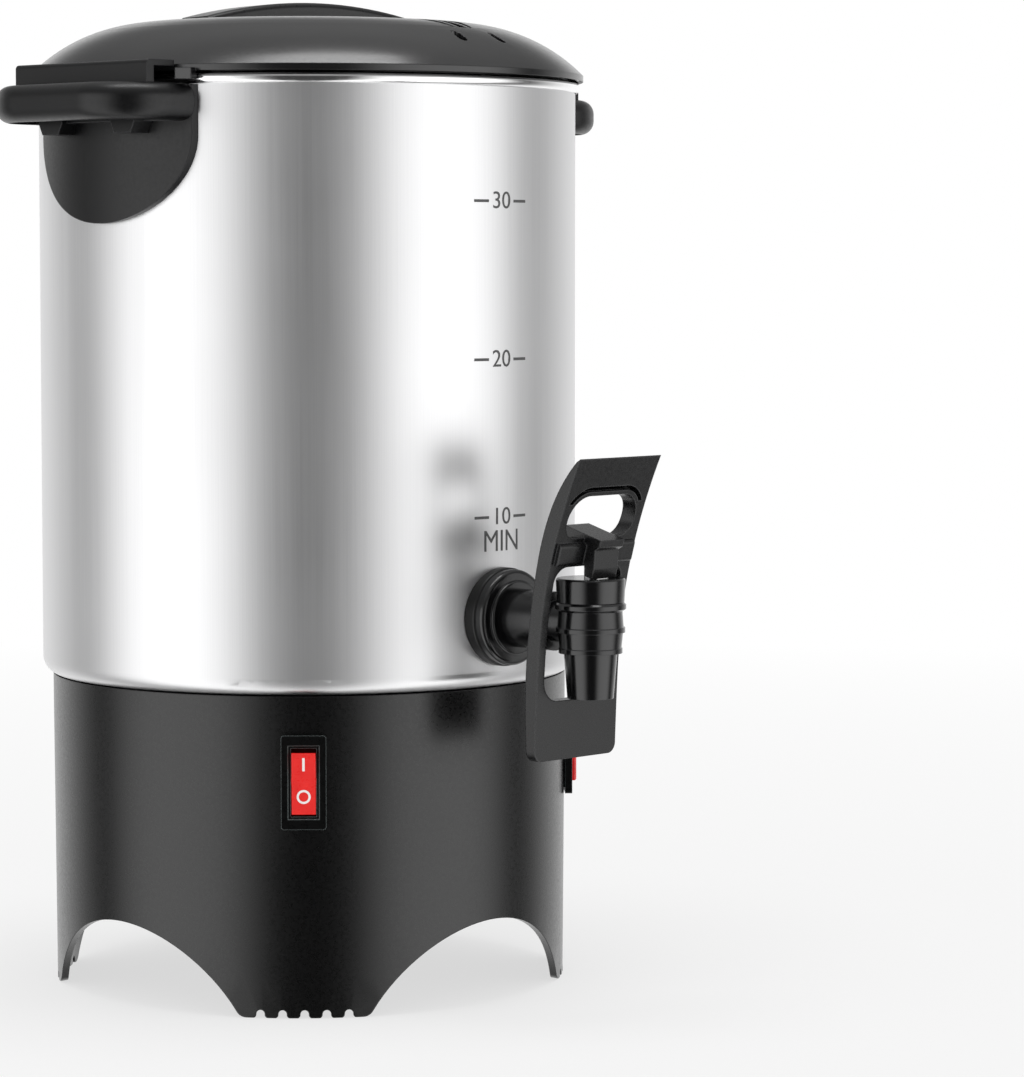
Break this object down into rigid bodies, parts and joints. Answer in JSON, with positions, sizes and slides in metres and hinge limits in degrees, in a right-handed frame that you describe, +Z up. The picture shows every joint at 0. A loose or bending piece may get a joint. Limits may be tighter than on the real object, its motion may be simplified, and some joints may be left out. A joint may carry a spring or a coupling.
{
  "type": "coffee urn",
  "caption": "Electric percolator coffee urn: lidded steel tank with side handles on a black footed base, with a cup-trip tap.",
  "frame": {"origin": "on the tank's axis at the level of the table that the feet stand on", "axes": "+Z up, -Y towards the tap, the handles at -X and +X"},
  "size_m": [0.24, 0.2449, 0.3423],
  "materials": {
    "brushed_tank": "satin brushed, vertical sheen",
    "plain_steel": "plain",
    "aluminium_plate": "satin",
    "brass": "plain",
    "bakelite": "matte",
    "ceramic_white": "matte",
    "base_black": "fine satin",
    "switch_black": "satin",
    "rocker_red": "gloss, lit from inside",
    "lamp_red": "clear red",
    "lamp_glass": "clear",
    "lid_gloss": "gloss",
    "grip_black": "satin gloss",
    "handle_black": "satin",
    "tap_black": "satin gloss",
    "lever_black": "satin gloss",
    "seal_rubber": "matte"
  },
  "bodies": {
    "urn": {"tank_shell": "brushed_tank", "heating_well": "plain_steel", "heating_element": "plain_steel", "heater_clamp_plate": "aluminium_plate", "tie_rods": "plain_steel", "heater_nuts": "plain_steel", "base_nuts": "plain_steel", "thermostat": "bakelite", "thermostat_strap": "plain_steel", "thermal_fuse": "aluminium_plate", "fuse_strap": "plain_steel", "terminal_block": "ceramic_white", "terminal_screws": "brass", "base_shell": "base_black", "bottom_cover": "base_black", "switch_housing": "switch_black", "switch_terminals": "brass", "lamp_housing": "switch_black", "lamp_lens": "lamp_red", "lamp_bulb": "lamp_glass", "lamp_terminals": "brass", "power_inlet": "switch_black", "inlet_pins": "brass", "inlet_screws": "plain_steel", "handle_plate_left": "handle_black", "handle_grip_left": "handle_black", "handle_plate_right": "handle_black", "handle_grip_right": "handle_black", "handle_screws": "plain_steel", "tap_outer_gasket": "seal_rubber", "tap_inner_gasket": "seal_rubber", "tap_nut": "tap_black", "tap_flange": "tap_black", "tap_body": "tap_black", "tap_bonnet": "tap_black", "tap_spring": "plain_steel"},
    "gasket": {"lid_gasket": "seal_rubber"},
    "lid": {"lid_shell": "lid_gloss", "lid_grip": "grip_black", "lid_screws": "plain_steel"},
    "percolator": {"pump_tube": "aluminium_plate", "pump_base": "aluminium_plate", "washer_cage": "aluminium_plate", "basket": "aluminium_plate", "basket_cover": "aluminium_plate"},
    "washer": {"pump_washer": "aluminium_plate"},
    "valve_stem": {"tap_stem": "plain_steel", "tap_seat_cup": "seal_rubber"},
    "lever": {"tap_lever": "lever_black", "lever_pin": "plain_steel"},
    "rocker": {"switch_rocker": "rocker_red"}
  },
  "joints": [
    {"name": "lid_lift", "type": "slide", "parent": "urn", "child": "gasket", "axis": [0, 0, 1], "range_m": [0, 0.12]},
    {"name": "lid_turn", "type": "hinge", "parent": "gasket", "child": "lid", "pos_m": [0, 0, 0.3], "axis": [0, 0, -1], "range_deg": [0, 21.9]},
    {"name": "stem_drop", "type": "slide", "parent": "urn", "child": "valve_stem", "axis": [0, 0, -1], "range_m": [0, 0.00194], "deforming": ["tap_spring"]},
    {"name": "lever_close", "type": "hinge", "parent": "valve_stem", "child": "lever", "pos_m": [0, -0.1346, 0.15689], "axis": [-1, 0, 0], "range_deg": [0, 16], "stiffness_Nm_per_rad": 0.6, "springref_deg": 16},
    {"name": "rocker_tip", "type": "hinge", "parent": "urn", "child": "rocker", "pos_m": [-0.06319, -0.06319, 0.0797], "axis": [-0.7071, 0.7071, 0], "range_deg": [0, 13]},
    {"name": "percolator_lift", "type": "slide", "parent": "urn", "child": "percolator", "axis": [0, 0, 1], "range_m": [0, 0.012]},
    {"name": "washer_lift", "type": "slide", "parent": "percolator", "child": "washer", "axis": [0, 0, 1], "range_m": [0, 0.003]}
  ],
  "couplings": [
    {"joint": "stem_drop", "follows": "lever_close", "m_per_rad": 0.0069531}
  ]
}
